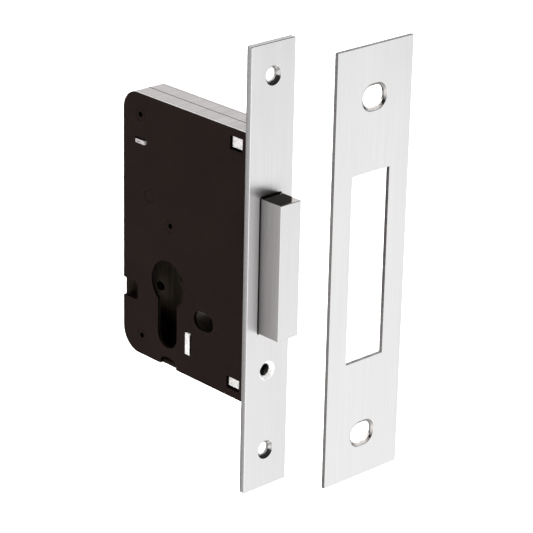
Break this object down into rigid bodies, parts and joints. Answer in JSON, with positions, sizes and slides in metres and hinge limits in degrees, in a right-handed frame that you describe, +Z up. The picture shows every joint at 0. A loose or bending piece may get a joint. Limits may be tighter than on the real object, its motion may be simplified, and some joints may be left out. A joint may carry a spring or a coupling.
{
  "type": "mortise lock",
  "caption": "Mortise deadlock case for a euro-profile cylinder, with forend, tall rectangular bolt shown thrown, detent lever inside and a separate strike plate.",
  "frame": {"origin": "backset datum: middle of the forend's front face, level with the axis of the cylinder cut-out", "axes": "+X the way the bolt is thrown, +Z up along the forend, +Y across the case, away from the near cover"},
  "size_m": [0.0928, 0.0516, 0.1638],
  "materials": {
    "cover_lacquer": "dark brown satin lacquer",
    "zinc_plate": "zinc plated, satin",
    "stainless": "fine brushed along its length",
    "rivet_steel": "steel post, ends lacquered with the cover",
    "plain_steel": "stamped, lightly oiled",
    "spring_steel": "drawn wire",
    "guide_nylon": "moulded nylon"
  },
  "bodies": {
    "case": {"near_cover": "cover_lacquer", "far_cover": "cover_lacquer", "near_rim": "zinc_plate", "far_rim": "zinc_plate", "forend": "stainless", "forend_bracket_upper": "zinc_plate", "forend_bracket_lower": "zinc_plate", "case_post_upper": "rivet_steel", "case_post_lower": "rivet_steel", "bolt_guide_post": "rivet_steel", "lever_pivot_stud": "rivet_steel", "lever_washer": "plain_steel", "cylinder_screw_support": "zinc_plate", "spring_anchor": "zinc_plate", "bolt_guide": "guide_nylon", "lever_spring": "spring_steel"},
    "bolt": {"deadbolt_head": "stainless", "bolt_tail": "plain_steel", "bolt_rivet_upper": "plain_steel", "bolt_rivet_lower": "plain_steel"},
    "lever": {"detent_lever": "plain_steel", "detent_stud": "plain_steel"},
    "strike": {"strike_plate": "stainless"}
  },
  "joints": [
    {"name": "bolt_slide", "type": "slide", "parent": "case", "child": "bolt", "axis": [1, 0, 0], "range_m": [-0.01, 0]},
    {"name": "lever_pivot", "type": "hinge", "parent": "case", "child": "lever", "pos_m": [-0.0552, 0, 0.0304], "axis": [0, -1, 0], "range_deg": [0, 11.1], "deforming": ["lever_spring"]},
    {"name": "strike_slide", "type": "slide", "parent": "case", "child": "strike", "axis": [0, -1, 0], "range_m": [0, 0.024]}
  ],
  "couplings": [
    {"joint": "lever_pivot", "follows": "bolt_slide", "rad_per_m": -19.2}
  ]
}
